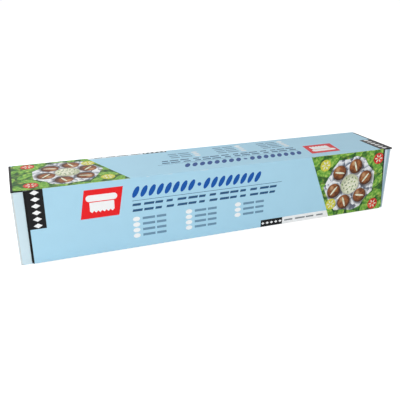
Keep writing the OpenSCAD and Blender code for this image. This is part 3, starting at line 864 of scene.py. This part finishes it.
# %% The finish of the cut paper
cut_paper = Finish("cut_paper", tone(214, 214, 208), 0.9, Specular_IOR_Level=0.2)
strands = cut_paper.noise(0.4 * MM, detail=4)
strand_tones = cut_paper.mix(cut_paper.rise(strands, 0.3, 0.7),
                             tone(198, 197, 190), tone(226, 227, 222))
pale = cut_paper.math("MULTIPLY", on_upright_edge(cut_paper), 0.85)
cut_paper.paint(cut_paper.mix(pale, strand_tones, CUT_PALE))
cut_paper.bump(strands, 0.05 * MM, 0.6)

# %% The edges of the tray and of the lid
STANDS = 0.06 * MM      # how far the middle of an edge strip stands off the flat cut under it
GLUED = 28 * MM         # length of a glued end flap's upper edge
GLUED_Z = FLUTES_Z - 1 * MM             # upper edge of the glued end flaps
INSET = 0.8 * MM        # how far the end panels' upright edges lie behind the walls' outer faces
ALONG, DEEP, UP = Vector((1, 0, 0)), Vector((0, 1, 0)), Vector((0, 0, 1))

wall_w = 2 * (END_X - 2 * BOARD) - 1 * MM              # a little short of the end panels
edges = [cut_edge("front_wall_edge", wall_w, (0, WALL_Y + BOARD / 2, FLUTES_Z + STANDS), ALONG, UP)]
for side in (-1, 1):
    x = side * (END_X - 1.5 * BOARD)
    for y in (WALL_Y + BOARD + GLUED / 2, BACK_Y - BOARD - GLUED / 2):
        middle = (x, y, GLUED_Z + STANDS)
        edges.append(cut_edge("glued_flap_edge", GLUED, middle, DEEP, UP))
    x = side * (END_X - BOARD / 2)
    tall = FLUTES_Z - 2 * BOARD
    for y, out in ((WALL_Y + INSET - STANDS, -DEEP), (BACK_Y - INSET + STANDS, DEEP)):
        edges.append(cut_edge("end_panel_edge", tall, (x, y, BOARD + tall / 2), UP, out))
join_edges("tray_cut_edges", edges, "base", cut_paper)
flap_w = FLAP_RIGHT - FLAP_LEFT - 4 * MM               # short of the flap's rounded corners
flap_middle = ((FLAP_LEFT + FLAP_RIGHT) / 2, FACE_Y + BOARD / 2, FLAP_Z - STANDS)
flap_edge = cut_edge("flap_edge", flap_w, flap_middle, ALONG, -UP)
join_edges("flap_cut_edge", [flap_edge], "cover", cut_paper)

# %% [markdown]
# ## The crease at the hinge
# The lid turns about the back wall's upper edge, and on the real carton the printed paper runs
# unbroken round that crease. A thin strip of it rides on the lid and ends at the hinge line. Shut,
# it covers the edge of the back wall's paper; turned over, it reaches from that edge to the lid.
# Its ends are nipped in as the press leaves them, and its edge at the hinge is rounded.

# %% The crease's paper
CREASE_W = 0.5 * MM
CREASE_T = 0.06 * MM
CREASE_L = 2 * END_X - 2.6 * MM
CREASE_Z = TOP_Z + 0.01 * MM            # its underside
HINGE_Y = BACK_Y - 0.01 * MM
middle = (0, HINGE_Y - CREASE_W / 2, CREASE_Z + CREASE_T / 2)
bpy.ops.object.select_all(action="DESELECT")
bpy.ops.mesh.primitive_cube_add(size=1, location=middle, scale=(CREASE_L, CREASE_W, CREASE_T))
crease = start("crease_paper")
select(crease, "VERT", lambda p: p.y > HINGE_Y - CREASE_W / 2)
bpy.ops.transform.resize(value=(1 - 0.6 * MM / END_X, 1, 1), center_override=(0, 0, 0))
select(crease, "EDGE", lambda a, b: min(a.y, b.y) > HINGE_Y - 0.01 * MM and abs(a.x - b.x) > END_X)
bpy.ops.mesh.bevel(offset=CREASE_T / 3)
crease_paper = Finish("crease_paper", SKY, 0.42, Specular_IOR_Level=0.16)
threads = crease_paper.noise(0.4 * MM, stretch=(0.3, 1, 1), detail=4)
plain = crease_paper.mix(crease_paper.rise(threads, 0.3, 0.7),
                         tone(190, 182, 167), tone(206, 199, 186))
creased = crease_paper.mix(crease_paper.rise(threads, 0.5, 0.75, 0, 0.3), SKY, WORN)
inner = crease_paper.below(crease_paper.z, CREASE_Z + CREASE_T / 4)
crease_paper.paint(crease_paper.mix(inner, creased, plain))
crease_paper.bump(threads, 0.02 * MM, 0.5)
finish_piece(crease, "cover", crease_paper)

# %% [markdown]
# ## Floor, light and camera
# The object stands on a plain white floor that runs on into a white world. The light is soft and
# stays near the level at which a colour renders as it is written: an even world does half of it,
# and large lamps at the front left and overhead do the rest, so that the front is a little brighter
# than the top and the right end a little darker than the left.

# %% Floor and world
GLOW = 0.68             # what the floor adds of its own for the camera, so that it shows white
FILL = 0.36             # the world's strength on the object, where 1 is what the camera sees of it
bpy.ops.object.select_all(action="DESELECT")
bpy.ops.mesh.primitive_plane_add(size=60, location=(0, 0, -0.05 * MM))
floor = start("floor")
ground = Finish("white_floor", (0.93, 0.93, 0.93, 1), 0.9, Specular_IOR_Level=0.0)
path = ground.add("LightPath").outputs
rays = ground.either(path["Is Camera Ray"], path["Is Glossy Ray"], path["Is Transmission Ray"])
glow = ground.add("Emission", {"Color": (1, 1, 1, 1), "Strength": GLOW})
both = ground.add("AddShader", {0: ground.shader.outputs[0], 1: glow.outputs[0]})
seen = ground.add("MixShader", {0: rays, 1: ground.shader.outputs[0], 2: both.outputs[0]})
ground.feed(ground.tree.nodes["Material Output"], "Surface", seen.outputs[0])
floor.data.materials.append(ground.material)

world = bpy.data.worlds.new("studio")
bpy.context.scene.world = world
world.use_nodes = True
sky = world.node_tree
background = sky.nodes["Background"]
path = sky.nodes.new("ShaderNodeLightPath")
shown = path.outputs["Is Camera Ray"]
for ray in ("Is Glossy Ray", "Is Transmission Ray"):
    larger = sky.nodes.new("ShaderNodeMath")
    larger.operation = "MAXIMUM"
    sky.links.new(shown, larger.inputs[0])
    sky.links.new(path.outputs[ray], larger.inputs[1])
    shown = larger.outputs[0]
strength = sky.nodes.new("ShaderNodeMapRange")
sky.links.new(shown, strength.inputs["Value"])
strength.inputs["To Min"].default_value = FILL
strength.inputs["To Max"].default_value = 1.0
sky.links.new(strength.outputs[0], background.inputs["Strength"])
background.inputs["Color"].default_value = (1, 1, 1, 1)


# %% Lamps
def soft_lamp(name, place, size, power):
    """A square lamp, its size in metres and its power in watts, aimed at the carton's middle."""
    bpy.ops.object.light_add(type="AREA", location=place)
    lamp = bpy.context.active_object
    lamp.name = name
    lamp.data.size = size
    lamp.data.energy = power
    aim = Vector((0, 0, 0.04)) - Vector(place)
    lamp.rotation_euler = aim.to_track_quat("-Z", "Y").to_euler()


soft_lamp("key", place=(-0.6, -1.5, 0.78), size=1.7, power=15.6)
soft_lamp("over", place=(-0.7, 0.2, 0.65), size=0.7, power=4.2)
print("two lamps")

# %% [markdown]
# The camera stands where a fit to the carton's visible corners in the photograph puts it.

# %% Camera
bpy.ops.object.camera_add()
camera = bpy.context.active_object
camera.name = "camera"
right = Vector((0.935891, -0.352226, 0.006731))
up = Vector((0.127884, 0.357479, 0.925124))
back = Vector((-0.328259, -0.864954, 0.379605))
place = Vector((-0.219501, -0.535157, 0.264545))
camera.matrix_world = Matrix.LocRotScale(place, Matrix((right, up, back)).transposed(), None)
camera.data.lens = 45.25
camera.data.sensor_width = 36
camera.data.clip_start = 0.01
bpy.context.scene.camera = camera
bpy.context.scene.view_settings.view_transform = "Standard"
